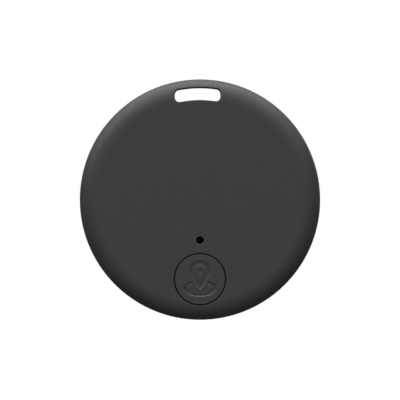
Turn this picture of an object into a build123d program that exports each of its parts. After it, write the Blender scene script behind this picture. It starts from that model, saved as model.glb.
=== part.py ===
from build123d import *

import os
from math import asin, atan2, cos, degrees, radians, sin, sqrt

# Round key-finder tag, hanging by its slot: +Z is up towards the slot, the button side faces -Y and the
# removable rear cover faces +Y.  The origin is the point at the top of the slot where a key ring bears,
# at half the thickness.  Sizes are in millimetres.  Depths run from the front face (0) to the rear face
# (THICKNESS), and places across the tag are (x, z) from the middle of its round face.

# ---- driving dimensions: case ----
CASE_RADIUS = 18.0
THICKNESS = 8.8
EDGE_REACH = 2.7  # how far the rounded edge reaches in across the face
EDGE_DROP = 1.9  # how far it reaches down the side
FRONT_WALL = 1.1
REAR_WALL = 1.0
SEAM_DEPTH = 4.9  # where the front and rear covers meet
SEAM_BEVEL = 0.12
SKIN_RADIUS = 17.15  # inside of the front cover's thin skirt
LEDGE_RADIUS = 16.5  # inside of the ledge that the board sits on
LIP_OUTER = 17.1  # rear cover's lip, which slides into the skirt
LIP_INNER = 16.4
LIP_TIP = 4.0
INNER_CORNER = 0.5
SNAP_DEPTH = SEAM_DEPTH - 0.45
SNAP_RIDGE = (0.15, 0.3, 15.0)  # how proud each ridge on the lip is, its half height and its half angle
SNAP_GROOVE = (0.16, 0.36, 16.0)
PRY_WIDTH = 5.0
PRY_HEIGHT = 0.8
PRY_REACH = 0.65

# ---- driving dimensions: key slot ----
SLOT_INNER = 14.915
SLOT_OUTER = 16.65
SLOT_HALF_LENGTH = 3.39
SLOT_CORNER = 0.65
SLOT_TURN = 1.34  # degrees that the slot's middle sits to the left of the button's centre line
SLOT_FLARE_IN = 0.05  # each mouth reaches this much further in than the waist at the seam
SLOT_FLARE_OUT = 0.22
SLOT_FLARE_SIDES = 0.18
SLOT_WALL = 0.75
SLOT_EDGE = 0.05  # radius on the edge of each mouth
SLOT_KEEP_OFF = 1.0  # the board and the lip stay this far from the slot's waist

# ---- driving dimensions: front features ----
BUTTON_AT = (0.0, -11.95)
BUTTON_RADIUS = 3.77
BUTTON_GAP = 0.15
BUTTON_EDGE = 0.12
OPENING_EDGE = 0.1  # radius on the edge of the button's opening
PIP_RADIUS = 0.9  # the pip behind the button, which stops just short of the switch's plunger
PIP_SLACK = 0.02
FLANGE_RADIUS = 4.1
FLANGE_FRONT = 1.12
FLANGE_REAR = 1.4
KEY_REACH = 4.8  # the key tab on the flange, from the button's centre
KEY_WIDTH = 1.0
KEY_RIB = 0.5  # thickness of the rib each side of the tab
KEY_SLACK = 0.2
SOUND_HOLE_AT = (0.0, -6.1)
SOUND_HOLE_RADIUS = 0.54
SOUND_HOLE_EDGE = 0.16

# ---- driving dimensions: map pin and ground ring engraved on the button, from the button's centre ----
ENGRAVED_DEPTH = 0.115
ENGRAVED_LEAN = 0.006  # the strokes get this much deeper for each millimetre down the button
ENGRAVED_SLOPE = 0.19  # how far each wall of a stroke leans in at its bottom
ISLAND_DEPTH = 0.055  # what a stroke encloses stands this far below the face
ISLAND_LEAN = 0.01
PIN_HEAD_Z = 1.3
PIN_HEAD_RADIUS = 1.57
PIN_TAIL = 2.91  # from the middle of the head to the tip
PIN_SHOULDER = 15.0  # the round head runs on this many degrees below its middle
PIN_INNER_RADIUS = 0.77
PIN_INNER_TAIL = 1.62
PIN_EYE_Z = 1.25
PIN_EYE_RADIUS = 0.54
PIN_EYE_SLOPE = 0.38
GROUND_STROKE = 0.5
GROUND_Z = -1.35
GROUND_WIDE = 2.44
GROUND_HIGH = 1.29
GROUND_GAP = 0.08  # the ground ring stops this far from the pin

# ---- driving dimensions: board, stakes and switch ----
BOARD_RADIUS = 17.0
BOARD_FRONT = 3.15
BOARD_REAR = 3.95
STAKES_AT = [(-13.0, -6.0), (13.0, -6.0)]
STAKE_RADIUS = 0.6
BOSS_RADIUS = 1.2
SWITCH_SIDE = 5.0
SWITCH_FRONT = 2.15  # the metal frame's outer face
FRAME_METAL = 0.13
PLUNGER_TIP = 1.65
PLUNGER_RADIUS = 1.0
WELL_FRONT = 2.3  # the switch base's well, which holds the snap dome
WELL_FLOOR = 2.75
WELL_RADIUS = 1.9

# ---- driving dimensions: buzzer ----
BUZZER_AT = (0.0, -4.9)
BUZZER_SIDE = 5.0
BUZZER_FRONT = 1.15
BUZZER_WALL = 0.3
BUZZER_FLOOR = 2.85  # front of the base plate
DIAPHRAGM_FRONT = 1.82
DIAPHRAGM_REAR = 1.9
GASKET_FRONT = 0.8
GASKET_RADIUS = 1.5
GASKET_BORE = 0.7
GASKET_SLACK = 0.05
DIAPHRAGM_RADIUS = 2.15
CORE_RADIUS = 0.4
COIL_RADIUS = 1.05
MAGNET_INNER = 1.15
MAGNET_RADIUS = 1.9

# ---- driving dimensions: coin cell, its holder and its contacts ----
CELL_AT = (0.0, 2.2)
CELL_RADIUS = 10.0
CELL_FRONT = 4.3
CELL_REAR = 7.5
CELL_WALL = 0.25
CATHODE_FRONT = 6.25
ANODE_REAR = 6.12
HOLDER_INNER = 10.15
HOLDER_OUTER = 11.0
HOLDER_REAR = 6.4
HOLDER_GAP = 4.4
CELL_GUIDE_FRONT = 7.0  # front of the rear cover's ring round the cell
CELL_GUIDE_SLACK = 0.3
PEG_RADIUS = 0.45
CONTACT_METAL = 0.15
PAD_RADIUS = 8.0

# ---- driving dimensions: small parts on the front of the board ----
CHIP_AT = (-7.0, 1.0)
CHIP_SIDE = 5.0
CHIP_PADS_PER_SIDE = 8
PAD_PITCH = 0.5
CRYSTAL_AT = (-7.0, 6.0)
CHOKE_AT = (5.2, 8.0)
TRANSISTOR_AT = (7.0, -3.6)
ANTENNA_AT = (-11.0, -11.3)  # lower left end of the zigzag
ANTENNA_HIGH = 2.6
ANTENNA_TURNS = 7
CAPACITORS_AT = [(-2.6, 1.6), (-2.6, 3.4), (-2.6, 5.2), (-12.4, 2.4), (2.4, 9.6), (8.6, 2.6)]
RESISTORS_AT = [(0.6, 1.6), (0.6, 3.4), (0.6, 5.2), (5.2, 4.4), (7.6, -7.6), (7.6, -9.2)]

FACE_CENTRE_Z = -SLOT_OUTER
REAR_FLOOR = THICKNESS - REAR_WALL
HOLDER_MIDDLE = (HOLDER_INNER + HOLDER_OUTER) / 2
PEGS_AT = [
    (CELL_AT[0] + HOLDER_MIDDLE * cos(radians(turn)), CELL_AT[1] + HOLDER_MIDDLE * sin(radians(turn)))
    for turn in (90, 210, 330)
]


def across(depth):
    """The plane at this depth, drawn as seen from the front, with its origin at the middle of the face."""
    return Plane(origin=(0, depth - THICKNESS / 2, FACE_CENTRE_Z), x_dir=(1, 0, 0), z_dir=(0, -1, 0))


def lengthways(at=(0.0, 0.0)):
    """The level plane through `at`: x is the distance from it sideways and y is the depth."""
    return Plane(origin=(at[0], -THICKNESS / 2, FACE_CENTRE_Z + at[1]), x_dir=(1, 0, 0), z_dir=(0, 0, 1))


def axis_at(at=(0.0, 0.0)):
    """The line through `at` from the front to the rear."""
    return Axis((at[0], 0, FACE_CENTRE_Z + at[1]), (0, 1, 0))


def turned(at, *points, mode=Mode.ADD):
    """Revolves a closed profile of (radius, depth) points about the line through `at`."""
    with BuildSketch(lengthways(at)) as profile:
        with BuildLine():
            Polyline(*points, close=True)
        make_face()
    revolve(profile.sketch, axis=axis_at(at), mode=mode)


def disc(at, radius, front, rear, hole=0.0, mode=Mode.ADD):
    """A round slab between two depths, with a round hole where `hole` gives its radius."""
    with BuildSketch(across(rear)) as outline:
        with Locations(at):
            Circle(radius)
            if hole:
                Circle(hole, mode=Mode.SUBTRACT)
    extrude(outline.sketch, amount=rear - front, mode=mode)


def block(at, width, height, front, rear, mode=Mode.ADD):
    """A rectangular slab between two depths."""
    with BuildSketch(across(rear)) as outline:
        with Locations(at):
            Rectangle(width, height)
    extrude(outline.sketch, amount=rear - front, mode=mode)


def strip(at, width, *points):
    """A bent metal strip that follows (sideways, depth) points and is `width` wide up and down."""
    with BuildSketch(lengthways(at)) as bend:
        with BuildLine():
            Polyline(*points)
        trace(line_width=CONTACT_METAL)
    extrude(bend.sketch, amount=width / 2, both=True)


def slot_face(grow, flare=0):
    """The key slot's outline, a piece of a ring, `grow` wider all round; `flare` is 1 at a mouth."""
    inner = SLOT_INNER - grow - flare * SLOT_FLARE_IN
    outer = SLOT_OUTER + grow + flare * SLOT_FLARE_OUT
    sides = grow + flare * SLOT_FLARE_SIDES
    half = SLOT_HALF_LENGTH + sides
    inner_turn = degrees(asin(half / inner))
    outer_turn = degrees(asin(half / outer))
    middle = 90 + SLOT_TURN
    with BuildLine() as outline:
        low = CenterArc((0, 0), inner, middle - inner_turn, 2 * inner_turn)
        high = CenterArc((0, 0), outer, middle - outer_turn, 2 * outer_turn)
        Line(low @ 0, high @ 0)
        Line(low @ 1, high @ 1)
    face = make_face(outline.line)
    fillet(face.vertices(), SLOT_CORNER + sides)


def slot_tunnel(mouth_depth, extra=0.0, mode=Mode.SUBTRACT):
    """The slot's opening from its waist to one mouth, or with `extra` the outside of its wall."""
    with BuildSketch(across(SEAM_DEPTH)) as waist:
        slot_face(extra)
    with BuildSketch(across(mouth_depth)) as mouth:
        slot_face(extra, flare=1)
    loft([waist.sketch, mouth.sketch], ruled=True, mode=mode)


def round_slot_mouth(cover, face_depth):
    """Takes the sharp edge off the slot where it opens in a cover's face."""
    middle = Vector(0, face_depth - THICKNESS / 2, (SLOT_INNER - SLOT_OUTER) / 2)
    reach = Vector(SLOT_HALF_LENGTH + 1, 0.45, SLOT_OUTER - SLOT_INNER)

    def at_mouth(edge):
        away = edge.center() - middle
        return abs(away.X) < reach.X and abs(away.Y) < reach.Y and abs(away.Z) < reach.Z

    fillet(cover.edges().filter_by(at_mouth), SLOT_EDGE)


def slot_keep_off(front, rear):
    """Clears everything between two depths from the slot's wall out to the rim."""
    with BuildSketch(across(rear)) as keep_off:
        slot_face(SLOT_KEEP_OFF)
        with Locations((0, CASE_RADIUS)):
            Rectangle(2 * (SLOT_HALF_LENGTH + SLOT_KEEP_OFF), 2 * (CASE_RADIUS - SLOT_OUTER + 0.5))
    extrude(keep_off.sketch, amount=rear - front, mode=Mode.SUBTRACT)


def snap_ridges(radius, proud, half_height, half_angle, mode):
    """Four short ridges round the lip, or with SUBTRACT the grooves that they click into."""
    for middle in (45, 135, 225, 315):
        start = radians(middle - half_angle)
        spoke = Plane(
            origin=(0, -THICKNESS / 2, FACE_CENTRE_Z),
            x_dir=(cos(start), 0, sin(start)),
            z_dir=(-sin(start), 0, cos(start)),
        )
        with BuildSketch(spoke) as ridge:
            with BuildLine():
                Polyline(
                    (radius - 0.1, SNAP_DEPTH - half_height),
                    (radius, SNAP_DEPTH - half_height),
                    (radius + proud, SNAP_DEPTH),
                    (radius, SNAP_DEPTH + half_height),
                    (radius - 0.1, SNAP_DEPTH + half_height),
                    close=True,
                )
            make_face()
        around = Axis((0, 0, FACE_CENTRE_Z), (0, -1, 0))
        revolve(ridge.sketch, axis=around, revolution_arc=2 * half_angle, mode=mode)


def shell_profile(face_depth):
    """One cover's solid section, from its round face at `face_depth` to the seam, with the rounded edge."""
    inward = 1 if face_depth < SEAM_DEPTH else -1
    with BuildLine() as outline:
        edge = EllipticalCenterArc(
            (CASE_RADIUS - EDGE_REACH, face_depth + inward * EDGE_DROP),
            EDGE_REACH,
            EDGE_DROP,
            start_angle=-90 if inward > 0 else 0,
            arc_size=90,
        )
        side, face = (edge @ 1, edge @ 0) if inward > 0 else (edge @ 0, edge @ 1)
        Polyline(
            side,
            (CASE_RADIUS, SEAM_DEPTH - inward * SEAM_BEVEL),
            (CASE_RADIUS - SEAM_BEVEL, SEAM_DEPTH),
            (0, SEAM_DEPTH),
            (0, face_depth),
            face,
        )
    make_face(outline.line)


def hollow(radius, floor_depth, end_depth):
    """The round space inside a cover, with a small radius where its wall meets its floor."""
    with BuildSketch(lengthways()) as profile:
        with BuildLine():
            FilletPolyline((0, floor_depth), (radius, floor_depth), (radius, end_depth), radius=INNER_CORNER)
            Polyline((radius, end_depth), (0, end_depth), (0, floor_depth))
        make_face()
    revolve(profile.sketch, axis=axis_at())


def on_button(depth, lean=0.0):
    """The plane at this depth at the button's middle, deeper by `lean` for each millimetre down."""
    middle = across(depth).from_local_coords(Vector(*BUTTON_AT))
    return Plane(origin=middle, x_dir=(1, 0, 0), z_dir=(0, -1, -lean))


def pin_face(grow, radius=PIN_HEAD_RADIUS, tail=PIN_TAIL):
    """A map pin's outline: a round head and two tangent arcs that meet at the tip, `grow` larger."""
    drop = sin(radians(PIN_SHOULDER))
    side_radius = (tail**2 + radius**2 - 2 * tail * radius * drop) / (2 * (radius - tail * drop))
    lean = side_radius - radius
    side_x = lean * cos(radians(PIN_SHOULDER))
    side_z = PIN_HEAD_Z + lean * drop
    tip = sqrt((side_radius + grow) ** 2 - side_x**2)
    sweep_turn = degrees(atan2(tip, side_x)) - PIN_SHOULDER
    with BuildLine() as outline:
        CenterArc((0, PIN_HEAD_Z), radius + grow, -PIN_SHOULDER, 180 + 2 * PIN_SHOULDER)
        CenterArc((side_x, side_z), side_radius + grow, 180 + PIN_SHOULDER, sweep_turn)
        CenterArc((-side_x, side_z), side_radius + grow, -PIN_SHOULDER - sweep_turn, sweep_turn)
    make_face(outline.line)


def pin_inner_face(grow):
    """What the pin's stroke encloses: a smaller pin with a shorter tail."""
    pin_face(grow, PIN_INNER_RADIUS, PIN_INNER_TAIL)


def ground_face(grow):
    """The oval of the ground ring."""
    with Locations((0, GROUND_Z)):
        Ellipse(GROUND_WIDE + grow, GROUND_HIGH + grow)


def ground_inner_face(grow):
    """What the ground ring's stroke encloses."""
    ground_face(grow - GROUND_STROKE)


def eye_face(grow):
    """The round eye in the pin's head."""
    with Locations((0, PIN_EYE_Z)):
        Circle(PIN_EYE_RADIUS + grow)


def sunk(outline, slope):
    """An engraving tool from the face down, whose outline is smaller by `slope` at its bottom."""
    with BuildSketch(on_button(0)) as top:
        outline(0)
    with BuildSketch(on_button(ENGRAVED_DEPTH, ENGRAVED_LEAN)) as bottom:
        outline(-slope)
    loft([top.sketch, bottom.sketch], ruled=True)


def left_standing(outline):
    """Keeps an island inside an engraving tool, whose outline is larger at its foot."""
    with BuildSketch(on_button(ISLAND_DEPTH, ISLAND_LEAN)) as top:
        outline(0)
    with BuildSketch(on_button(ENGRAVED_DEPTH, ENGRAVED_LEAN)) as bottom:
        outline(ENGRAVED_SLOPE)
    loft([top.sketch, bottom.sketch], ruled=True, mode=Mode.SUBTRACT)


def save(piece, name):
    """Writes one sub-part under its node name."""
    piece.part.label = name
    export_step(piece.part, f"parts/{name}.step")


os.makedirs("parts", exist_ok=True)

# ---- front cover: dished shell with the slot's front half, the button opening and the sound hole ----
with BuildPart() as front_space:
    hollow(LEDGE_RADIUS, FRONT_WALL, SEAM_DEPTH)
    disc((0, 0), SKIN_RADIUS, BOARD_FRONT, SEAM_DEPTH)
    slot_tunnel(0, extra=SLOT_WALL)

with BuildPart() as front_cover:
    with BuildSketch(lengthways()):
        shell_profile(0)
    revolve(axis=axis_at())
    add(front_space.part, mode=Mode.SUBTRACT)
    slot_tunnel(0)
    disc(BUTTON_AT, BUTTON_RADIUS + BUTTON_GAP, 0, FRONT_WALL, mode=Mode.SUBTRACT)
    disc(SOUND_HOLE_AT, SOUND_HOLE_RADIUS, 0, FRONT_WALL, mode=Mode.SUBTRACT)
    rims = front_cover.edges().filter_by(GeomType.CIRCLE).group_by(Axis.Y)[0]
    fillet(rims.filter_by(lambda rim: abs(rim.radius - BUTTON_RADIUS - BUTTON_GAP) < 0.001), OPENING_EDGE)
    fillet(rims.filter_by(lambda rim: abs(rim.radius - SOUND_HOLE_RADIUS) < 0.001), SOUND_HOLE_EDGE)
    round_slot_mouth(front_cover, 0)
    disc(SOUND_HOLE_AT, GASKET_RADIUS + GASKET_SLACK, GASKET_FRONT, FRONT_WALL, mode=Mode.SUBTRACT)
    snap_ridges(SKIN_RADIUS, *SNAP_GROOVE, Mode.SUBTRACT)
    for stake in STAKES_AT:
        disc(stake, BOSS_RADIUS, FRONT_WALL, BOARD_FRONT)
        disc(stake, STAKE_RADIUS, BOARD_FRONT, BOARD_REAR)
        turned(stake, (0, BOARD_REAR), (1.0, BOARD_REAR), (0.85, BOARD_REAR + 0.3), (0, BOARD_REAR + 0.4))
    for side in (-1, 1):
        rib_z = BUTTON_AT[1] + side * (KEY_WIDTH / 2 + KEY_SLACK + KEY_RIB / 2)
        block((BUTTON_AT[0] + KEY_REACH - 0.05, rib_z), 0.9, KEY_RIB, FRONT_WALL, 1.7)
save(front_cover, "front_cover")

# ---- rear cover: dished shell with the slot's rear half, the snap lip and a pry notch ----
with BuildPart() as rear_space:
    hollow(LIP_INNER, REAR_FLOOR, LIP_TIP)
    slot_tunnel(THICKNESS, extra=SLOT_WALL)

with BuildPart() as rear_cover:
    with BuildSketch(lengthways()):
        shell_profile(THICKNESS)
    revolve(axis=axis_at())
    disc((0, 0), LIP_OUTER, LIP_TIP, SEAM_DEPTH)
    snap_ridges(LIP_OUTER, *SNAP_RIDGE, Mode.ADD)
    add(rear_space.part, mode=Mode.SUBTRACT)
    slot_keep_off(LIP_TIP, SEAM_DEPTH)
    slot_tunnel(THICKNESS)
    round_slot_mouth(rear_cover, THICKNESS)
    disc(CELL_AT, HOLDER_OUTER, CELL_GUIDE_FRONT, REAR_FLOOR, hole=CELL_RADIUS + CELL_GUIDE_SLACK)
    with BuildSketch(across(SEAM_DEPTH)):
        with Locations((0, -CASE_RADIUS)):
            SlotOverall(PRY_WIDTH, 2 * PRY_REACH)
    extrude(amount=-PRY_HEIGHT, mode=Mode.SUBTRACT)
save(rear_cover, "rear_cover")

# ---- button: cap with a flange, a key tab and a pip, engraved with a map pin on a ground ring ----
with BuildPart() as ground_groove:
    sunk(ground_face, ENGRAVED_SLOPE)
    left_standing(ground_inner_face)
    with BuildSketch(on_button(2 * ENGRAVED_DEPTH)):
        pin_face(GROUND_GAP)
    extrude(amount=2 * ENGRAVED_DEPTH, mode=Mode.SUBTRACT)

with BuildPart() as pin_groove:
    sunk(pin_face, ENGRAVED_SLOPE)
    left_standing(pin_inner_face)
    sunk(eye_face, PIN_EYE_SLOPE)

with BuildPart() as button_cap:
    disc(BUTTON_AT, BUTTON_RADIUS, 0, FLANGE_FRONT)
    fillet(button_cap.edges().group_by(Axis.Y)[0], BUTTON_EDGE)
    disc(BUTTON_AT, FLANGE_RADIUS, FLANGE_FRONT, FLANGE_REAR)
    block((BUTTON_AT[0] + KEY_REACH - 0.5, BUTTON_AT[1]), 1.0, KEY_WIDTH, FLANGE_FRONT, FLANGE_REAR)
    disc(BUTTON_AT, PIP_RADIUS, FLANGE_REAR, PLUNGER_TIP - PIP_SLACK)
    add(ground_groove.part, mode=Mode.SUBTRACT)
    add(pin_groove.part, mode=Mode.SUBTRACT)
save(button_cap, "button_cap")

# ---- circuit board with its cut-out for the slot, stake holes and peg holes ----
with BuildPart() as circuit_board:
    disc((0, 0), BOARD_RADIUS, BOARD_FRONT, BOARD_REAR)
    slot_keep_off(BOARD_FRONT, BOARD_REAR)
    for stake in STAKES_AT:
        disc(stake, STAKE_RADIUS + 0.1, BOARD_FRONT, BOARD_REAR, mode=Mode.SUBTRACT)
    for peg in PEGS_AT:
        disc(peg, PEG_RADIUS + 0.05, BOARD_FRONT, BOARD_REAR, mode=Mode.SUBTRACT)
save(circuit_board, "circuit_board")

# ---- cell holder: a ring with three pegs, open on the right for the side contact ----
with BuildPart() as battery_holder:
    disc(CELL_AT, HOLDER_OUTER, BOARD_REAR, HOLDER_REAR, hole=HOLDER_INNER)
    chamfer(battery_holder.edges().group_by(Axis.Y)[-1], 0.15)
    gap_at = (CELL_AT[0] + HOLDER_MIDDLE, CELL_AT[1])
    block(gap_at, 2.0, HOLDER_GAP, BOARD_REAR, HOLDER_REAR, mode=Mode.SUBTRACT)
    for peg in PEGS_AT:
        disc(peg, PEG_RADIUS, BOARD_FRONT + 0.05, BOARD_REAR)
save(battery_holder, "battery_holder")

# ---- cell contacts: a two-finger spring under the cell and a hooked spring against its side ----
with BuildPart() as negative_contact:
    strip(CELL_AT, 1.2, (-4.5, 4.12), (-4.1, 4.2), (-1.5, 4.025), (1.5, 4.025), (4.1, 4.2), (4.5, 4.12))
    block(CELL_AT, 3.0, 2.2, BOARD_REAR, BOARD_REAR + CONTACT_METAL)
save(negative_contact, "negative_contact")

with BuildPart() as positive_contact:
    strip(CELL_AT, 3.0, (13.2, 4.025), (11.4, 4.025), (11.4, 6.2), (11.0, 6.6), (10.18, 5.8), (10.45, 5.2))
save(positive_contact, "positive_contact")

# ---- coin cell: can, cap, gasket and the layers between them ----
with BuildPart() as battery_can:
    turned(
        CELL_AT,
        (0, CELL_REAR),
        (CELL_RADIUS - 0.4, CELL_REAR),
        (CELL_RADIUS - 0.1, CELL_REAR - 0.1),
        (CELL_RADIUS, CELL_REAR - 0.4),
        (CELL_RADIUS, 4.95),
        (9.7, 4.6),
        (9.0, 4.5),
        (9.0, 4.5 + CELL_WALL),
        (9.58, 4.84),
        (CELL_RADIUS - CELL_WALL, 5.05),
        (CELL_RADIUS - CELL_WALL, CELL_REAR - CELL_WALL),
        (0, CELL_REAR - CELL_WALL),
    )
save(battery_can, "battery_can")

with BuildPart() as battery_cap:
    turned(
        CELL_AT,
        (0, CELL_FRONT),
        (8.25, CELL_FRONT),
        (8.5, 4.45),
        (8.6, 4.7),
        (8.6, 5.0),
        (9.1, 5.25),
        (9.1, 6.4),
        (9.1 - CELL_WALL, 6.4),
        (9.1 - CELL_WALL, 5.4),
        (8.6 - CELL_WALL, 5.15),
        (8.6 - CELL_WALL, 4.75),
        (8.15, CELL_FRONT + CELL_WALL),
        (0, CELL_FRONT + CELL_WALL),
    )
save(battery_cap, "battery_cap")

with BuildPart() as battery_gasket:
    turned(
        CELL_AT,
        (8.64, 4.55),
        (8.96, 4.6),
        (8.96, 4.79),
        (9.55, 4.88),
        (9.71, 5.08),
        (9.71, 7.2),
        (8.6, 7.2),
        (8.6, 6.44),
        (9.14, 6.44),
        (9.14, 5.2),
        (8.64, 4.95),
    )
save(battery_gasket, "battery_gasket")

with BuildPart() as battery_cathode:
    disc(CELL_AT, 8.5, CATHODE_FRONT, CELL_REAR - CELL_WALL - 0.01)
save(battery_cathode, "battery_cathode")

with BuildPart() as battery_separator:
    disc(CELL_AT, 8.55, ANODE_REAR, CATHODE_FRONT)
save(battery_separator, "battery_separator")

with BuildPart() as battery_anode:
    disc(CELL_AT, 8.0, CELL_FRONT + CELL_WALL + 0.03, ANODE_REAR)
save(battery_anode, "battery_anode")

# ---- foam pad between the cell and the rear cover ----
with BuildPart() as battery_pad:
    disc(CELL_AT, PAD_RADIUS, CELL_REAR + 0.02, REAR_FLOOR)
save(battery_pad, "battery_pad")

# ---- push switch under the button: base, snap dome, plunger, metal frame and four leads ----
with BuildPart() as switch_base:
    block(BUTTON_AT, SWITCH_SIDE, SWITCH_SIDE, WELL_FRONT, BOARD_FRONT)
    disc(BUTTON_AT, WELL_RADIUS, WELL_FRONT, WELL_FLOOR, mode=Mode.SUBTRACT)
save(switch_base, "switch_base")

with BuildPart() as switch_dome:
    with BuildSketch(lengthways(BUTTON_AT)):
        with BuildLine():
            crown = ThreePointArc((0, 2.46), (0.9, 2.54), (1.7, 2.74))
            under = ThreePointArc((0, 2.52), (0.9, 2.6), (1.6, WELL_FLOOR))
            Line(crown @ 1, (1.7, WELL_FLOOR))
            Line((1.7, WELL_FLOOR), under @ 1)
            Line(crown @ 0, under @ 0)
        make_face()
    revolve(axis=axis_at(BUTTON_AT))
save(switch_dome, "switch_dome")

with BuildPart() as switch_plunger:
    disc(BUTTON_AT, PLUNGER_RADIUS, PLUNGER_TIP, WELL_FRONT)
    disc(BUTTON_AT, PLUNGER_RADIUS + 0.5, WELL_FRONT, WELL_FRONT + 0.12)
    fillet(switch_plunger.edges().group_by(Axis.Y)[0], 0.12)
save(switch_plunger, "switch_plunger")

with BuildPart() as switch_frame:
    frame_side = SWITCH_SIDE + 0.3
    block(BUTTON_AT, frame_side, frame_side, SWITCH_FRONT, SWITCH_FRONT + FRAME_METAL)
    disc(BUTTON_AT, PLUNGER_RADIUS + 0.15, SWITCH_FRONT, WELL_FRONT, mode=Mode.SUBTRACT)
    for side in (-1, 1):
        tab_at = (BUTTON_AT[0], BUTTON_AT[1] + side * (frame_side - FRAME_METAL) / 2)
        block(tab_at, 1.8, FRAME_METAL, SWITCH_FRONT + FRAME_METAL, 3.0)
save(switch_frame, "switch_frame")

with BuildPart() as switch_terminals:
    for side in (-1, 1):
        for row in (-1.6, 1.6):
            foot = side * SWITCH_SIDE / 2
            strip(
                (BUTTON_AT[0] + foot, BUTTON_AT[1] + row),
                0.6,
                (side * 0.01, 2.85),
                (side * 0.35, 2.85),
                (side * 0.55, 3.07),
                (side * 1.0, 3.07),
            )
save(switch_terminals, "switch_terminals")

# ---- buzzer behind the sound hole: case, gasket, diaphragm, core, coil, magnet, base and pads ----
with BuildPart() as buzzer_case:
    inner_side = BUZZER_SIDE - 2 * BUZZER_WALL
    block(BUZZER_AT, BUZZER_SIDE, BUZZER_SIDE, BUZZER_FRONT, BOARD_FRONT)
    block(BUZZER_AT, inner_side, inner_side, BUZZER_FRONT + BUZZER_WALL, BOARD_FRONT, mode=Mode.SUBTRACT)
    disc(SOUND_HOLE_AT, 0.5, BUZZER_FRONT, BUZZER_FRONT + BUZZER_WALL, mode=Mode.SUBTRACT)
save(buzzer_case, "buzzer_case")

with BuildPart() as buzzer_gasket:
    disc(SOUND_HOLE_AT, GASKET_RADIUS, GASKET_FRONT, BUZZER_FRONT, hole=GASKET_BORE)
save(buzzer_gasket, "buzzer_gasket")

with BuildPart() as buzzer_diaphragm:
    disc(BUZZER_AT, DIAPHRAGM_RADIUS, DIAPHRAGM_FRONT, DIAPHRAGM_REAR)
    disc(BUZZER_AT, 0.9, DIAPHRAGM_REAR, DIAPHRAGM_REAR + 0.12)
save(buzzer_diaphragm, "buzzer_diaphragm")

with BuildPart() as buzzer_base:
    block(BUZZER_AT, inner_side - 0.04, inner_side - 0.04, BUZZER_FLOOR, BOARD_FRONT)
    disc(BUZZER_AT, DIAPHRAGM_RADIUS + 0.01, DIAPHRAGM_REAR, BUZZER_FLOOR, hole=MAGNET_RADIUS + 0.08)
save(buzzer_base, "buzzer_base")

with BuildPart() as buzzer_core:
    disc(BUZZER_AT, CORE_RADIUS, 2.15, BUZZER_FLOOR)
save(buzzer_core, "buzzer_core")

with BuildPart() as buzzer_coil:
    disc(BUZZER_AT, COIL_RADIUS, 2.3, BUZZER_FLOOR, hole=CORE_RADIUS + 0.02)
save(buzzer_coil, "buzzer_coil")

with BuildPart() as buzzer_magnet:
    disc(BUZZER_AT, MAGNET_RADIUS, 2.2, BUZZER_FLOOR, hole=MAGNET_INNER)
save(buzzer_magnet, "buzzer_magnet")

with BuildPart() as buzzer_terminals:
    for side in (-1, 1):
        for row in (-1.6, 1.6):
            pad_at = (BUZZER_AT[0] + side * (BUZZER_SIDE / 2 + 0.25), BUZZER_AT[1] + row)
            block(pad_at, 0.5, 0.9, 3.0, BOARD_FRONT)
save(buzzer_terminals, "buzzer_terminals")

# ---- radio chip with its edge pads, crystal and printed antenna ----
with BuildPart() as bluetooth_chip:
    block(CHIP_AT, CHIP_SIDE, CHIP_SIDE, 2.3, 3.1)
    chamfer(bluetooth_chip.edges().group_by(Axis.Y)[0], 0.08)
save(bluetooth_chip, "bluetooth_chip")

with BuildPart() as chip_pads:
    for step in range(CHIP_PADS_PER_SIDE):
        along = (step - (CHIP_PADS_PER_SIDE - 1) / 2) * PAD_PITCH
        for side in (-1, 1):
            reach = side * (CHIP_SIDE / 2 - 0.1)
            block((CHIP_AT[0] + along, CHIP_AT[1] + reach), 0.26, 0.5, 3.1, BOARD_FRONT)
            block((CHIP_AT[0] + reach, CHIP_AT[1] + along), 0.5, 0.26, 3.1, BOARD_FRONT)
save(chip_pads, "chip_pads")

with BuildPart() as crystal:
    block(CRYSTAL_AT, 3.2, 2.5, 2.75, BOARD_FRONT)
    block(CRYSTAL_AT, 2.9, 2.2, 2.45, 2.75)
save(crystal, "crystal")

with BuildPart() as antenna_trace:
    with BuildSketch(across(BOARD_FRONT)):
        with BuildLine():
            corners = []
            for step in range(ANTENNA_TURNS):
                ends = (0, ANTENNA_HIGH) if step % 2 else (ANTENNA_HIGH, 0)
                corners += [(ANTENNA_AT[0] + step, ANTENNA_AT[1] + end) for end in ends]
            Polyline(*corners)
        trace(line_width=0.4)
    extrude(amount=0.04)
save(antenna_trace, "antenna_trace")

# ---- small soldered parts: ceramic capacitors, resistors, choke and buzzer transistor ----
with BuildPart() as capacitor_bodies:
    for spot in CAPACITORS_AT:
        block(spot, 1.0, 0.8, 2.4, 3.12)
save(capacitor_bodies, "capacitor_bodies")

with BuildPart() as capacitor_ends:
    for spot in CAPACITORS_AT:
        for side in (-1, 1):
            block((spot[0] + side * 0.65, spot[1]), 0.3, 0.84, 2.38, BOARD_FRONT)
save(capacitor_ends, "capacitor_ends")

with BuildPart() as resistor_bodies:
    for spot in RESISTORS_AT:
        block(spot, 0.6, 0.5, 2.8, 3.12)
save(resistor_bodies, "resistor_bodies")

with BuildPart() as resistor_ends:
    for spot in RESISTORS_AT:
        for side in (-1, 1):
            block((spot[0] + side * 0.4, spot[1]), 0.2, 0.52, 2.78, BOARD_FRONT)
save(resistor_ends, "resistor_ends")

with BuildPart() as choke:
    block(CHOKE_AT, 2.0, 1.6, 2.2, BOARD_FRONT)
    chamfer(choke.edges().group_by(Axis.Y)[0], 0.15)
save(choke, "choke")

with BuildPart() as driver_transistor:
    block(TRANSISTOR_AT, 2.9, 1.3, 2.2, 3.1)
    chamfer(driver_transistor.edges().group_by(Axis.Y)[0], 0.12)
save(driver_transistor, "driver_transistor")

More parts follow.
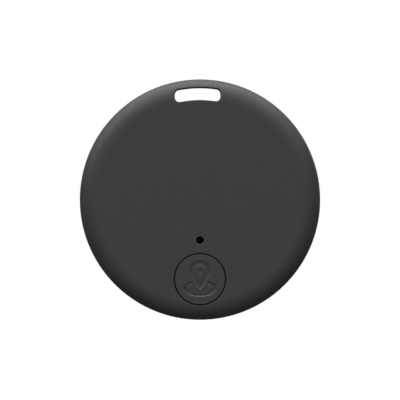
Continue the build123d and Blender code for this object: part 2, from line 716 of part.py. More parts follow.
with BuildPart() as transistor_leads:
    for along, side in ((-0.95, -1), (0.95, -1), (0, 1)):
        block((TRANSISTOR_AT[0] + along, TRANSISTOR_AT[1] + side * 0.9), 0.4, 0.5, 3.0, BOARD_FRONT)
save(transistor_leads, "transistor_leads")
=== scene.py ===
import math

import bmesh
import bpy
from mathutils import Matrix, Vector, noise


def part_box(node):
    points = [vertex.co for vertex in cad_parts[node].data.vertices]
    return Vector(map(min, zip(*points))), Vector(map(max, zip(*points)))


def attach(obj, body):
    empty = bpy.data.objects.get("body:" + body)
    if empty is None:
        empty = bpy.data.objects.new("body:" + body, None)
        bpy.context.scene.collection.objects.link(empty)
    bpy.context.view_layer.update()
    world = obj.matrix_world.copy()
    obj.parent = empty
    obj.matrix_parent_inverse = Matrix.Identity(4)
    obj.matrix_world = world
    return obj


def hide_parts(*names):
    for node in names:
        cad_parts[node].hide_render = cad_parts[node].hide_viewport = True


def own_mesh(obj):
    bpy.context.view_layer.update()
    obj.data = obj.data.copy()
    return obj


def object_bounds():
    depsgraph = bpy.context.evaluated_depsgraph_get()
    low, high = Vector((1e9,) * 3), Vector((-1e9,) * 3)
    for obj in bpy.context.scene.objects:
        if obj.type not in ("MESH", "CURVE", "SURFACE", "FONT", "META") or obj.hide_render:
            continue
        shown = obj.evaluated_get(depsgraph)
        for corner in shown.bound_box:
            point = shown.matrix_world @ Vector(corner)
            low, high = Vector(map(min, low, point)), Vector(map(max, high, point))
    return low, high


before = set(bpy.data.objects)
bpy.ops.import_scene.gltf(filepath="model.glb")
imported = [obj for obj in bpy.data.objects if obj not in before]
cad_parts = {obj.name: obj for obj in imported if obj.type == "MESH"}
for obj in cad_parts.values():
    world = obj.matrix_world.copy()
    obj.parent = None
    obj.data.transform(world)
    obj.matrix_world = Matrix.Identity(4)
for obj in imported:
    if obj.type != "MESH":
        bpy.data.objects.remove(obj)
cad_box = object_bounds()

MM = 0.001
MICRON = 0.000001

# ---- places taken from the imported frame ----
OBJECT_LOW = cad_box[0]
CASE_LOW, CASE_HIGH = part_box("front_cover")
MIDDLE = (CASE_LOW + CASE_HIGH) / 2  # of the front cover, which the camera and the lights aim at


# ---- materials ----
# Each node takes a procedural material with the name of its slot in the record.
SLOT_OF = {name: node.material_slots[0].material.name for name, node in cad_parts.items()}
for placeholder in list(bpy.data.materials):
    bpy.data.materials.remove(placeholder)


class Finish:
    """One procedural material: a Principled shader and the patterns that vary it."""

    def __init__(self, name, colour, roughness, metallic=0.0, **sockets):
        self.material = bpy.data.materials.new(name)
        self.material.use_nodes = True
        self.nodes = self.material.node_tree.nodes
        self.links = self.material.node_tree.links
        self.shader = self.nodes["Principled BSDF"].inputs
        self.shader["Base Color"].default_value = (*colour, 1)
        self.shader["Roughness"].default_value = roughness
        self.shader["Metallic"].default_value = metallic
        for socket, value in sockets.items():
            self.shader[socket.replace("_", " ")].default_value = value
        self.place = self.nodes.new("ShaderNodeTexCoord").outputs["Object"]
        self.normal = None

    def add(self, kind, vector=None, **values):
        """A new node with its socket values set, and its Vector input linked where it has one."""
        node = self.nodes.new(kind)
        for socket, value in values.items():
            node.inputs[socket.replace("_", " ")].default_value = value
        if vector is not None:
            self.links.new(vector, node.inputs["Vector"])
        return node

    def stretched(self, along):
        """Surface coordinates scaled along each axis, so that a pattern can be drawn out."""
        if along == (1, 1, 1):
            return self.place
        mapping = self.nodes.new("ShaderNodeMapping")
        mapping.inputs["Scale"].default_value = along
        self.links.new(self.place, mapping.inputs["Vector"])
        return mapping.outputs["Vector"]

    def clouds(self, size, detail=3, along=(1, 1, 1)):
        """Soft lumps about size metres across."""
        lumps = self.add("ShaderNodeTexNoise", self.stretched(along), Scale=1 / size, Detail=detail)
        return lumps.outputs["Fac"]

    def cells(self, size):
        """Small rounded cells about size metres across."""
        voronoi = self.add("ShaderNodeTexVoronoi", self.place, Scale=1 / size)
        return voronoi.outputs["Distance"]

    def threads(self, axis, pitch):
        """Parallel ridges across an axis, pitch metres apart, slightly uneven."""
        scale = math.pi / (10 * pitch)
        wave = self.add("ShaderNodeTexWave", self.place, Scale=scale, Distortion=0.6)
        wave.bands_direction = axis
        return wave.outputs["Fac"]

    def colours(self, pattern, dark, light, low=0.3, high=0.7):
        """Runs the surface colour from dark to light over the pattern."""
        ramp = self.nodes.new("ShaderNodeValToRGB")
        for stop, place, colour in zip(ramp.color_ramp.elements, (low, high), (dark, light)):
            stop.position = place
            stop.color = (*colour, 1)
        self.links.new(pattern, ramp.inputs["Fac"])
        self.links.new(ramp.outputs["Color"], self.shader["Base Color"])

    def polish(self, pattern, low, high):
        """Runs the roughness from low to high over the pattern."""
        span = self.add("ShaderNodeMapRange", To_Min=low, To_Max=high)
        self.links.new(pattern, span.inputs["Value"])
        self.links.new(span.outputs["Result"], self.shader["Roughness"])

    def relief(self, pattern, height):
        """Adds the pattern to the surface as bumps of that height in metres."""
        bump = self.add("ShaderNodeBump", Distance=height)
        self.links.new(pattern, bump.inputs["Height"])
        if self.normal is not None:
            self.links.new(self.normal, bump.inputs["Normal"])
        self.normal = bump.outputs["Normal"]
        self.links.new(self.normal, self.shader["Normal"])


CASE_COLOUR = (0.0385, 0.0355, 0.037)
CASE_DARK = (0.0378, 0.0334, 0.0352)
CASE_LIGHT = (0.0384, 0.034, 0.0358)


def case_plastic():
    """Satin dark grey ABS with the very fine grain of a spark-eroded mould."""
    finish = Finish("case_plastic", CASE_COLOUR, 0.52)
    finish.colours(finish.clouds(2.5 * MM, 2), CASE_DARK, CASE_LIGHT)
    finish.polish(finish.clouds(1.2 * MM, 4), 0.52, 0.54)
    finish.relief(finish.clouds(0.11 * MM, 2), 0.45 * MICRON)
    return finish


def button_plastic():
    """The case's plastic with a finer, slightly smoother grain."""
    finish = Finish("button_plastic", CASE_COLOUR, 0.5)
    finish.colours(finish.clouds(1.5 * MM, 2), CASE_DARK, CASE_LIGHT)
    finish.polish(finish.clouds(0.8 * MM, 4), 0.49, 0.53)
    finish.relief(finish.clouds(0.08 * MM, 2), 0.3 * MICRON)
    return finish


MASK_COAT = {"Coat_Weight": 0.35, "Coat_Roughness": 0.12}


def board_laminate():
    """Green solder mask over woven glass cloth."""
    finish = Finish("board_laminate", (0.01, 0.075, 0.035), 0.34, **MASK_COAT)
    finish.colours(finish.clouds(1.5 * MM, 3), (0.008, 0.062, 0.028), (0.013, 0.088, 0.042))
    finish.polish(finish.clouds(0.6 * MM, 4), 0.28, 0.42)
    finish.relief(finish.threads("X", 0.42 * MM), 1.2 * MICRON)
    finish.relief(finish.threads("Z", 0.38 * MM), 1.2 * MICRON)
    return finish


def masked_copper():
    """Copper tracks seen through the solder mask, a lighter green."""
    finish = Finish("masked_copper", (0.03, 0.16, 0.07), 0.3, **MASK_COAT)
    finish.colours(finish.clouds(0.7 * MM, 3), (0.024, 0.135, 0.058), (0.038, 0.18, 0.082))
    finish.polish(finish.clouds(0.3 * MM, 3), 0.26, 0.38)
    finish.relief(finish.clouds(0.05 * MM, 2), 0.6 * MICRON)
    return finish


def holder_plastic():
    """Black glass-filled nylon: short pale fibres just under a dull skin."""
    finish = Finish("holder_plastic", (0.016, 0.016, 0.017), 0.5)
    fibres = finish.clouds(0.12 * MM, 4, (1, 1, 0.25))
    finish.colours(fibres, (0.013, 0.013, 0.014), (0.03, 0.03, 0.031), 0.5, 0.85)
    finish.polish(finish.clouds(0.5 * MM, 4), 0.42, 0.58)
    finish.relief(finish.clouds(0.09 * MM, 3), 1.5 * MICRON)
    return finish


def spring_metal():
    """Nickel-plated spring bronze with the lengthwise lines of rolled strip."""
    finish = Finish("spring_metal", (0.62, 0.57, 0.47), 0.28, 1.0)
    finish.colours(finish.clouds(0.8 * MM, 3, (0.2, 1, 1)), (0.55, 0.5, 0.4), (0.68, 0.64, 0.55))
    finish.polish(finish.clouds(0.06 * MM, 3, (0.05, 1, 1)), 0.2, 0.38)
    finish.relief(finish.clouds(0.05 * MM, 2, (0.05, 1, 1)), 0.5 * MICRON)
    return finish


def cell_steel():
    """Drawn stainless steel: faint brushed lines and handling haze."""
    finish = Finish("cell_steel", (0.58, 0.58, 0.57), 0.26, 1.0)
    finish.colours(finish.clouds(3 * MM, 4), (0.53, 0.53, 0.52), (0.62, 0.62, 0.61))
    finish.polish(finish.clouds(0.12 * MM, 4, (0.04, 1, 1)), 0.2, 0.36)
    finish.relief(finish.clouds(0.07 * MM, 3, (0.03, 1, 1)), 0.5 * MICRON)
    return finish


def dull_mark():
    """Etched relief of the cell's polarity sign, duller than the can."""
    finish = Finish("dull_mark", (0.14, 0.14, 0.14), 0.6, 1.0)
    finish.colours(finish.clouds(0.2 * MM, 3), (0.11, 0.11, 0.11), (0.17, 0.17, 0.17))
    finish.polish(finish.clouds(0.2 * MM, 3), 0.54, 0.66)
    finish.relief(finish.clouds(0.04 * MM, 2), 0.5 * MICRON)
    return finish


def seal_plastic():
    """Milky nylon grommet."""
    milk = {"Subsurface_Weight": 0.2, "Subsurface_Scale": 0.3 * MM}
    finish = Finish("seal_plastic", (0.55, 0.53, 0.48), 0.45, **milk)
    finish.colours(finish.clouds(0.7 * MM, 3), (0.48, 0.46, 0.41), (0.6, 0.58, 0.53))
    finish.relief(finish.clouds(0.1 * MM, 2), 1.0 * MICRON)
    return finish


def cathode_pellet():
    """Pressed black powder with brighter flecks of graphite."""
    finish = Finish("cathode_pellet", (0.02, 0.019, 0.018), 0.8)
    finish.colours(finish.cells(0.1 * MM), (0.05, 0.048, 0.045), (0.012, 0.011, 0.011), 0.1, 0.6)
    finish.relief(finish.cells(0.1 * MM), 12 * MICRON)
    return finish


def separator_felt():
    """White unwoven fibre mat."""
    finish = Finish("separator_felt", (0.78, 0.77, 0.74), 0.85)
    finish.colours(finish.clouds(0.15 * MM, 5, (0.3, 1, 1)), (0.66, 0.65, 0.62), (0.86, 0.85, 0.82))
    finish.relief(finish.clouds(0.06 * MM, 4, (0.2, 1, 1)), 8 * MICRON)
    finish.relief(finish.clouds(0.06 * MM, 4, (1, 1, 0.2)), 8 * MICRON)
    return finish


def lithium_metal():
    """Soft grey metal with a tarnished bloom."""
    finish = Finish("lithium_metal", (0.42, 0.42, 0.44), 0.5, 1.0)
    finish.colours(finish.clouds(1.2 * MM, 5), (0.3, 0.3, 0.32), (0.5, 0.5, 0.53))
    finish.polish(finish.clouds(0.5 * MM, 4), 0.4, 0.7)
    finish.relief(finish.clouds(0.3 * MM, 4), 4 * MICRON)
    return finish


def foam():
    """Charcoal closed-cell foam, its cut cells showing as pits, each painted darker towards its
    bottom as shade.
    """
    finish = Finish("foam", (0.03, 0.03, 0.032), 0.92, Sheen_Weight=0.25, Sheen_Roughness=0.5)
    # Painted shade: the colour runs dark where the cell pits are deepest.
    finish.colours(finish.cells(0.22 * MM), (0.01, 0.01, 0.011), (0.06, 0.06, 0.064), 0.05, 0.55)
    finish.relief(finish.cells(0.22 * MM), 45 * MICRON)
    finish.relief(finish.cells(0.09 * MM), 15 * MICRON)
    return finish


def switch_plastic():
    """Black heat-resistant nylon, dull and faintly granular."""
    finish = Finish("switch_plastic", (0.014, 0.014, 0.015), 0.55)
    finish.colours(finish.clouds(0.4 * MM, 3), (0.011, 0.011, 0.012), (0.02, 0.02, 0.021))
    finish.relief(finish.clouds(0.07 * MM, 3), 1.2 * MICRON)
    return finish


def plunger_plastic():
    """Natural white acetal."""
    milk = {"Subsurface_Weight": 0.15, "Subsurface_Scale": 0.4 * MM}
    finish = Finish("plunger_plastic", (0.72, 0.7, 0.65), 0.4, **milk)
    finish.colours(finish.clouds(0.6 * MM, 3), (0.66, 0.64, 0.59), (0.77, 0.75, 0.7))
    finish.relief(finish.clouds(0.06 * MM, 2), 0.8 * MICRON)
    return finish


def stamped_steel():
    """Bright stamped steel sheet with rolling marks."""
    finish = Finish("stamped_steel", (0.66, 0.65, 0.62), 0.3, 1.0)
    finish.colours(finish.clouds(1.5 * MM, 4), (0.6, 0.59, 0.56), (0.7, 0.69, 0.67))
    finish.polish(finish.clouds(0.08 * MM, 3, (1, 1, 0.05)), 0.22, 0.4)
    finish.relief(finish.clouds(0.06 * MM, 3, (1, 1, 0.04)), 0.5 * MICRON)
    return finish


def buzzer_plastic():
    """Black liquid-crystal polymer with flow streaks."""
    finish = Finish("buzzer_plastic", (0.018, 0.018, 0.02), 0.42)
    streaks = finish.clouds(0.5 * MM, 4, (0.25, 1, 1))
    finish.colours(streaks, (0.013, 0.013, 0.015), (0.026, 0.026, 0.029))
    finish.polish(finish.clouds(0.3 * MM, 3), 0.36, 0.5)
    finish.relief(finish.clouds(0.06 * MM, 3), 1.0 * MICRON)
    return finish


def gasket_rubber():
    """Matt black foam rubber with fine closed cells, their pits painted darker towards the bottom
    as shade.
    """
    finish = Finish("gasket_rubber", (0.012, 0.012, 0.012), 0.85)
    # Painted shade: the colour runs dark where the cell pits are deepest.
    finish.colours(finish.cells(0.08 * MM), (0.007, 0.007, 0.007), (0.02, 0.02, 0.02), 0.05, 0.5)
    finish.relief(finish.cells(0.08 * MM), 8 * MICRON)
    return finish


def magnet_ferrite():
    """Sintered ferrite, charcoal grey with a fine sparkle."""
    finish = Finish("magnet_ferrite", (0.05, 0.05, 0.053), 0.6, 0.3)
    finish.colours(finish.cells(0.06 * MM), (0.09, 0.09, 0.095), (0.035, 0.035, 0.038), 0.05, 0.4)
    finish.relief(finish.clouds(0.08 * MM, 4), 4 * MICRON)
    return finish


def copper():
    """Copper wire and foil, warmer where it has tarnished."""
    finish = Finish("copper", (0.72, 0.3, 0.14), 0.3, 1.0)
    finish.colours(finish.clouds(0.6 * MM, 4), (0.5, 0.19, 0.09), (0.8, 0.36, 0.17))
    finish.polish(finish.clouds(0.2 * MM, 3), 0.22, 0.42)
    finish.relief(finish.threads("Y", 0.1 * MM), 8 * MICRON)
    return finish


def tin_plate():
    """Reflowed solder: bright, with the frosted grain of lead-free alloy."""
    finish = Finish("tin_plate", (0.7, 0.69, 0.67), 0.26, 1.0)
    finish.colours(finish.clouds(0.25 * MM, 4), (0.6, 0.59, 0.57), (0.76, 0.75, 0.73))
    finish.polish(finish.cells(0.09 * MM), 0.16, 0.42)
    finish.relief(finish.cells(0.09 * MM), 2.5 * MICRON)
    return finish


def gold_plate():
    """Immersion gold over nickel on the bare pads."""
    finish = Finish("gold_plate", (0.83, 0.6, 0.25), 0.3, 1.0)
    finish.colours(finish.clouds(0.3 * MM, 4), (0.74, 0.51, 0.2), (0.88, 0.66, 0.3))
    finish.polish(finish.clouds(0.1 * MM, 3), 0.22, 0.4)
    finish.relief(finish.clouds(0.05 * MM, 3), 0.8 * MICRON)
    return finish


def board_ink():
    """White printed outline ink, slightly broken at its edges."""
    finish = Finish("board_ink", (0.75, 0.75, 0.72), 0.6)
    finish.colours(finish.clouds(0.1 * MM, 4), (0.6, 0.61, 0.58), (0.82, 0.82, 0.8))
    finish.relief(finish.clouds(0.04 * MM, 3), 2 * MICRON)
    return finish


def painted_shade_black():
    """Near-black foil, far darker than real black oxide and almost without shine: painted shade for
    the depth of the sound hole.
    """
    finish = Finish("painted_shade_black", (0.002, 0.002, 0.002), 0.7, Specular_IOR_Level=0.04)
    finish.colours(finish.clouds(0.05 * MM, 3), (0.001, 0.001, 0.001), (0.003, 0.003, 0.003))
    finish.relief(finish.clouds(0.02 * MM, 2), 0.5 * MICRON)
    return finish


def chip_epoxy():
    """Black moulding compound, dull from its silica filler."""
    finish = Finish("chip_epoxy", (0.02, 0.02, 0.021), 0.58)
    filler = finish.clouds(0.06 * MM, 4)
    finish.colours(filler, (0.014, 0.014, 0.015), (0.034, 0.034, 0.035), 0.4, 0.8)
    finish.relief(finish.clouds(0.05 * MM, 4), 1.5 * MICRON)
    return finish


def ceramic():
    """Tan capacitor ceramic, slightly mottled."""
    finish = Finish("ceramic", (0.32, 0.2, 0.1), 0.42)
    finish.colours(finish.clouds(0.2 * MM, 4), (0.26, 0.155, 0.075), (0.37, 0.24, 0.13))
    finish.relief(finish.clouds(0.05 * MM, 3), 1.2 * MICRON)
    return finish


def resistor_glaze():
    """Black overglaze of a thick-film resistor."""
    gloss = {"Coat_Weight": 0.4, "Coat_Roughness": 0.1}
    finish = Finish("resistor_glaze", (0.015, 0.016, 0.02), 0.3, **gloss)
    finish.colours(finish.clouds(0.15 * MM, 3), (0.01, 0.011, 0.014), (0.024, 0.025, 0.03))
    finish.relief(finish.clouds(0.08 * MM, 3), 2 * MICRON)
    return finish


def ferrite():
    """Grey moulded ferrite of the power choke."""
    finish = Finish("ferrite", (0.07, 0.07, 0.074), 0.65)
    finish.colours(finish.cells(0.07 * MM), (0.11, 0.11, 0.115), (0.05, 0.05, 0.053), 0.05, 0.45)
    finish.relief(finish.clouds(0.09 * MM, 4), 4 * MICRON)
    return finish


FINISHES = {
    made.material.name: made.material
    for made in (
        case_plastic(), button_plastic(), board_laminate(), masked_copper(), holder_plastic(),
        spring_metal(), cell_steel(), dull_mark(), seal_plastic(), cathode_pellet(),
        separator_felt(), lithium_metal(), foam(), switch_plastic(), plunger_plastic(),
        stamped_steel(), buzzer_plastic(), gasket_rubber(), magnet_ferrite(), copper(),
        tin_plate(), gold_plate(), board_ink(), painted_shade_black(), chip_epoxy(),
        ceramic(), resistor_glaze(), ferrite(),
    )
}
# Painted shade: the diaphragm takes the near-black foil finish instead of its steel, so the sound
# hole reads dark.
SHADE_PAINTED_PARTS = ("buzzer_diaphragm",)  # seen through the sound hole, where it has to stay dark
for name, slot_name in SLOT_OF.items():
    finish_name = "painted_shade_black" if name in SHADE_PAINTED_PARTS else slot_name
    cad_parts[name].material_slots[0].material = FINISHES[finish_name]


# ---- mesh building ----
def new_piece(name, body, slot_name, build, smooth_angle=None, finish=None):
    """One rigid piece: build(bm) fills its mesh, and it rides on a CAD body.

    With a smooth_angle, it is shaded smooth where its faces meet at less than that many degrees.
    """
    bm = bmesh.new()
    build(bm)
    bmesh.ops.recalc_face_normals(bm, faces=bm.faces)
    mesh = bpy.data.meshes.new(name)
    bm.to_mesh(mesh)
    bm.free()
    mesh.materials.append(FINISHES[finish or slot_name])
    piece = bpy.data.objects.new(name, mesh)
    bpy.context.scene.collection.objects.link(piece)
    if smooth_angle is not None:
        mesh.shade_smooth()
        mesh.set_sharp_from_angle(angle=math.radians(smooth_angle))
    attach(piece, body)
    return piece


def loops_to_solid(bm, loops):
    """Joins closed loops of equal length into a capped solid."""
    rows = [[bm.verts.new(point) for point in loop] for loop in loops]
    join_rows(bm, rows)
    bm.faces.new(rows[0])
    bm.faces.new(rows[-1])


def loops_to_ring(bm, loops):
    """Joins closed loops of equal length, and the last back to the first, into a ring."""
    rows = [[bm.verts.new(point) for point in loop] for loop in loops]
    join_rows(bm, rows + rows[:1])


def join_rows(bm, rows):
    """Faces between each closed row of points and the next."""
    count = len(rows[0])
    for row, following in zip(rows, rows[1:]):
        for step in range(count):
            after = (step + 1) % count
            bm.faces.new((row[step], row[after], following[after], following[step]))


def circle(x, z, radius, y, steps, first=0.0):
    """A loop of points round (x, z) at one depth, from the angle first."""
    turns = [first + 2 * math.pi * step / steps for step in range(steps)]
    return [(x + radius * math.cos(turn), y, z + radius * math.sin(turn)) for turn in turns]


def rectangle(low, high, grow, y):
    """A loop of the four corners of a box seen from the front, grown all round, at one depth."""
    return [
        (low.x - grow, y, low.z - grow),
        (high.x + grow, y, low.z - grow),
        (high.x + grow, y, high.z + grow),
        (low.x - grow, y, high.z + grow),
    ]


def section(outer, inner, front, rear):
    """The four corners (reach, depth) of a flat ring's section, in order round it."""
    return (outer, front), (outer, rear), (inner, rear), (inner, front)


def washer(bm, x, z, outer, inner, front, rear, steps=20):
    """A flat round ring between two depths."""
    corners = section(outer, inner, front, rear)
    loops_to_ring(bm, [circle(x, z, radius, y, steps) for radius, y in corners])


def ribbon(bm, points, width, front, rear):
    """A flat strip of even width along points (x, z), mitred at its bends."""
    sides = ([], [])
    for index, point in enumerate(points):
        here = Vector(point)
        before = (here - Vector(points[index - 1])).normalized() if index else None
        after = (Vector(points[index + 1]) - here).normalized() if index + 1 < len(points) else None
        along = ((before or after) + (after or before)).normalized()
        across = Vector((-along.y, along.x))
        reach = width / 2 / max(0.5, along.dot(after or before))
        sides[0].append(here + across * reach)
        sides[1].append(here - across * reach)
    outline = sides[0] + sides[1][::-1]
    top = [bm.verts.new((point.x, front, point.y)) for point in outline]
    bottom = [bm.verts.new((point.x, rear, point.y)) for point in outline]
    count, last = len(points), 2 * len(points) - 1
    for step in range(count - 1):
        bm.faces.new((top[step], top[step + 1], top[last - step - 1], top[last - step]))
        bm.faces.new((bottom[step], bottom[step + 1], bottom[last - step - 1], bottom[last - step]))
    for step in range(2 * count):
        after = (step + 1) % (2 * count)
        bm.faces.new((top[step], top[after], bottom[after], bottom[step]))


def islands(node):
    """The lowest and highest corners of each separate solid of a CAD node."""
    bm = bmesh.new()
    bm.from_mesh(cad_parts[node].data)
    bmesh.ops.remove_doubles(bm, verts=bm.verts, dist=MICRON)
    found, waiting = [], set(bm.verts)
    while waiting:
        group, edge_of = [], [waiting.pop()]
        while edge_of:
            vertex = edge_of.pop()
            group.append(vertex.co.copy())
            for edge in vertex.link_edges:
                other = edge.other_vert(vertex)
                if other in waiting:
                    waiting.remove(other)
                    edge_of.append(other)
        found.append((
            Vector([min(co[axis] for co in group) for axis in range(3)]),
            Vector([max(co[axis] for co in group) for axis in range(3)]),
        ))
    bm.free()
    return sorted(found, key=lambda pair: (round(pair[0].x, 6), round(pair[0].z, 6)))


# ---- printed circuit: copper, solder, plated holes and printed outlines ----
BOARD_LOW, BOARD_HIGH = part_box("circuit_board")
BOARD_MIDDLE = (BOARD_LOW + BOARD_HIGH) / 2
BOARD_EDGE = (BOARD_HIGH.x - BOARD_LOW.x) / 2
BOARD_CENTRE = Vector((BOARD_MIDDLE.x, 0, BOARD_LOW.z + BOARD_EDGE))  # of its round outline
COPPER = 0.018 * MM  # foil thickness
FOIL_GAP = 0.002 * MM  # what lies on the board starts this far off its face
FRONT_FOIL = (BOARD_LOW.y - COPPER, BOARD_LOW.y - FOIL_GAP)  # depths of the foil's two faces
REAR_FOIL = (BOARD_HIGH.y + FOIL_GAP, BOARD_HIGH.y + COPPER)
TRACK_WIDTH = 0.18 * MM
POWER_TRACK_WIDTH = 1.6 * TRACK_WIDTH
REAR_TRACK_WIDTH = 1.3 * TRACK_WIDTH

SOLDERED = (
    "capacitor_ends", "resistor_ends", "buzzer_terminals", "transistor_leads", "chip_pads",
    "switch_terminals",
)
SOLDER_SPREAD = 0.14 * MM
CHIP_SOLDER_SPREAD = 0.05 * MM
# The fillet's hollow curve, as (share of the spread, share of the height).
SOLDER_CURVE = ((1.0, 0.03), (0.45, 0.16), (0.18, 0.4), (0.05, 0.75))
TERMINAL_FOOT = 0.45 * MM
TERMINAL_METAL = 0.15 * MM


def solder_fillets(bm):
    """A concave skirt of solder round the foot of every soldered end."""
    foil, board_face = FRONT_FOIL
    for node in SOLDERED:
        spread = CHIP_SOLDER_SPREAD if node == "chip_pads" else SOLDER_SPREAD
        for low, high in islands(node):
            if node == "switch_terminals":
                low, high = soldered_foot(low, high)
            rise = min(high.y, BOARD_LOW.y) - low.y
            loops = [rectangle(low, high, spread, board_face)]
            for out, up in SOLDER_CURVE:
                loops.append(rectangle(low, high, spread * out, foil - rise * up))
            loops_to_solid(bm, loops)


def soldered_foot(low, high):
    """The flat outer end of a switch terminal."""
    top = high.y - TERMINAL_METAL
    if low.x > BOARD_CENTRE.x:
        return Vector((high.x - TERMINAL_FOOT, top, low.z)), high
    return Vector((low.x, top, low.z)), Vector((low.x + TERMINAL_FOOT, high.y, high.z))


# The chip's tracks leave its pads straight, spread out sideways and end straight. Each row below is
# (share of the pad's place along its side, shorter end, longer end), and ends alternate.
ESCAPE_START = 0.2 * MM
ESCAPE_RUN = 0.25 * MM
ESCAPE_ABOVE = (0.1, 0.32 * MM, 0.52 * MM)  # close together, because the crystal is above the chip
ESCAPE_ELSEWHERE = (0.55, 0.75 * MM, 1.37 * MM)


def chip_escape(pad, chip):
    """The outward and sideways directions at one of the chip's pads, and how far along it is."""
    away = pad - chip
    if abs(away.x) > abs(away.z):
        return Vector((math.copysign(1, away.x), 0)), Vector((0, 1)), away.z
    return Vector((0, math.copysign(1, away.z))), Vector((1, 0)), away.x


def chip_routes():
    """Tracks that fan out from the chip's pads, each to its own plated hole."""
    chip_low, chip_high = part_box("bluetooth_chip")
    routes = []
    for index, (low, high) in enumerate(islands("chip_pads")):
        pad = (low + high) / 2
        out, side, along = chip_escape(pad, (chip_low + chip_high) / 2)
        share, *ends = ESCAPE_ABOVE if out.y > 0 else ESCAPE_ELSEWHERE
        spread = share * along
        start = Vector((pad.x, pad.z)) + out * ESCAPE_START
        bend = start + out * ESCAPE_RUN
        knee = bend + side * spread + out * abs(spread)
        routes.append([start, bend, knee, knee + out * ends[index % 2]])
    return routes


CHIP_ROUTES = chip_routes()
VIA_OUTER = 0.24 * MM
VIA_BORE = 0.11 * MM
VIA_RISE = 1.6 * COPPER
VIA_STEPS = 16
STITCH_RADIUS = BOARD_EDGE - 0.8 * MM
STITCHES = 48
SLOT_CLEAR = 6.2 * MM  # half the width that the ground ring leaves open below the slot
GROUND_RING_WIDTH = 1.0 * MM
GROUND_RING_STEPS = 120


def stitching():
    """Plated holes round the board's edge that tie its two ground layers together."""
    for step in range(STITCHES):
        turn = 2 * math.pi * (step + 0.5) / STITCHES
        x, z = STITCH_RADIUS * math.cos(turn), STITCH_RADIUS * math.sin(turn)
        if z > 0 and abs(x) < SLOT_CLEAR:
            continue
        yield BOARD_CENTRE.x + x, BOARD_CENTRE.z + z


def tracks_front(bm):
    """The chip's fine tracks and the wider ones between the other parts."""
    for route in CHIP_ROUTES:
        ribbon(bm, route, TRACK_WIDTH, *FRONT_FOIL)
    for route in LONG_ROUTES:
        ribbon(bm, route, POWER_TRACK_WIDTH, *FRONT_FOIL)


def via_places():
    """Where the plated holes are: at the end of each of the chip's tracks, and round the edge."""
    return [(route[-1].x, route[-1].y) for route in CHIP_ROUTES] + list(stitching())


def dogleg(start, end):
    """A track between two points: a diagonal run, then a straight one."""
    gap = end - start
    slant = min(abs(gap.x), abs(gap.y))
    knee = start + Vector((math.copysign(slant, gap.x), math.copysign(slant, gap.y)))
    return [start, knee, end]


def spot(node, index):
    """The middle (x, z) of one of a node's solids."""
    low, high = islands(node)[index]
    return Vector(((low.x + high.x) / 2, (low.z + high.z) / 2))


# Each number counts a node's solids from left to right, and upwards where they line up.
LONG_ROUTES = [
    dogleg(spot("buzzer_terminals", 3), spot("transistor_leads", 0)),
    dogleg(spot("transistor_leads", 1), spot("capacitor_ends", 11)),
    dogleg(spot("transistor_leads", 2), spot("resistor_ends", 10)),
    dogleg(spot("switch_terminals", 3), spot("resistor_ends", 8)),
    dogleg(spot("buzzer_terminals", 1), spot("switch_terminals", 1)),
    dogleg(spot("resistor_ends", 5), spot("resistor_ends", 6)),
    dogleg(spot("capacitor_ends", 9), spot("resistor_ends", 4)),
]
TEST_PADS = [(2.5 * MM * step, -13.6 * MM) for step in range(-2, 3)]  # from the board's centre
TEST_PAD_RADIUS = 0.55 * MM
TEST_PAD_PROFILE = ((1, 0.1), (1, 1.4), (0.94, 1.9))  # share of the radius, height in foils
TEST_PAD_STEPS = 28
TEST_TRACK_ENDS = (1.1 * MM, 0.9 * MM)
TEST_TRACK_SPREAD = 0.45


def tracks_rear(bm):
    """Tracks that fan out upwards from the rear test pads, the middle one straight."""
    first, last = TEST_TRACK_ENDS
    for x, z in TEST_PADS:
        start = Vector((BOARD_CENTRE.x + x, BOARD_CENTRE.z + z))
        bend = start + Vector((0, first))
        spread = TEST_TRACK_SPREAD * x
        knee = bend + Vector((spread, abs(spread)))
        bends = [bend, knee] if x else [bend]
        ribbon(bm, [start, *bends, knee + Vector((0, last))], REAR_TRACK_WIDTH, *REAR_FOIL)


def ground_ring(bm, front, rear):
    """A broad copper arc under the stitching holes, open below the key slot."""
    gap = math.asin(SLOT_CLEAR / STITCH_RADIUS)
    first, last = math.pi / 2 + gap, 2.5 * math.pi - gap
    arc = []
    for step in range(GROUND_RING_STEPS + 1):
        turn = first + (last - first) * step / GROUND_RING_STEPS
        x, z = STITCH_RADIUS * math.cos(turn), STITCH_RADIUS * math.sin(turn)
        arc.append((BOARD_CENTRE.x + x, BOARD_CENTRE.z + z))
    ribbon(bm, arc, GROUND_RING_WIDTH, front, rear)


def plated_holes(bm):
    """A small ring of plating round each hole, on both faces of the board."""
    faces = (
        (BOARD_LOW.y - VIA_RISE, BOARD_LOW.y - FOIL_GAP),
        (BOARD_HIGH.y + FOIL_GAP, BOARD_HIGH.y + VIA_RISE),
    )
    for x, z in via_places():
        for front, rear in faces:
            washer(bm, x, z, VIA_OUTER, VIA_BORE, front, rear, VIA_STEPS)


def bare_pads(bm):
    """Round gold test pads on the board's rear, each with a softened edge."""
    for x, z in TEST_PADS:
        place = (BOARD_CENTRE.x + x, BOARD_CENTRE.z + z)
        loops_to_solid(bm, [
            circle(*place, TEST_PAD_RADIUS * share, BOARD_HIGH.y + lift * COPPER, TEST_PAD_STEPS)
            for share, lift in TEST_PAD_PROFILE
        ])


